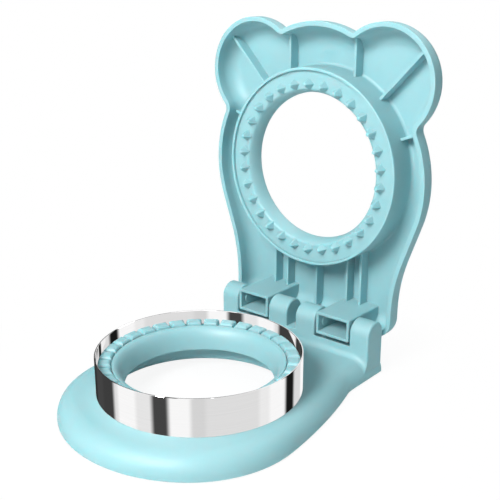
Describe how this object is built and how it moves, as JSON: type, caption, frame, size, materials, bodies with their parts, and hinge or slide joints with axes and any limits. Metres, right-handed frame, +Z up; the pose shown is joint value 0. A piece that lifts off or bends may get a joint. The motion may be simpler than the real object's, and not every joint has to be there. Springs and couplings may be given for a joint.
{
  "type": "sandwich cutter and sealer",
  "caption": "Hinged kitchen press that cuts a round sandwich with a steel ring and crimps its edge shut between two toothed rings.",
  "frame": {"origin": "on the table, under the middle of the bounding box of the open tool", "axes": "+Z up; -Y to the front, where the cutting ring is; +Y to the hinge and the upright lid; +X to the right, along the hinge line"},
  "size_m": [0.1238, 0.1562, 0.1615],
  "materials": {
    "teal_plastic": "satin moulded plastic, pastel teal",
    "polished_steel": "mirror-polished stainless steel",
    "pin_plastic": "satin acetal plastic, teal like the shells",
    "screw_steel": "plain stainless steel",
    "silicone": "soft matt silicone"
  },
  "bodies": {
    "base": {"base_shell": "teal_plastic", "cutting_ring": "polished_steel", "lower_crimp_ring": "teal_plastic", "clamp_screws": "screw_steel", "foot_front_left": "silicone", "foot_front_right": "silicone", "foot_rear_left": "silicone", "foot_rear_right": "silicone", "hinge_pin_left_outer": "pin_plastic", "hinge_pin_left_inner": "pin_plastic", "hinge_pin_right_inner": "pin_plastic", "hinge_pin_right_outer": "pin_plastic"},
    "lid": {"lid_shell": "teal_plastic", "upper_crimp_ring": "teal_plastic"}
  },
  "joints": [
    {"name": "lid_hinge", "type": "hinge", "parent": "base", "child": "lid", "pos_m": [0, 0.05575, 0.02106], "axis": [1, 0, 0], "range_deg": [0, 90]}
  ]
}
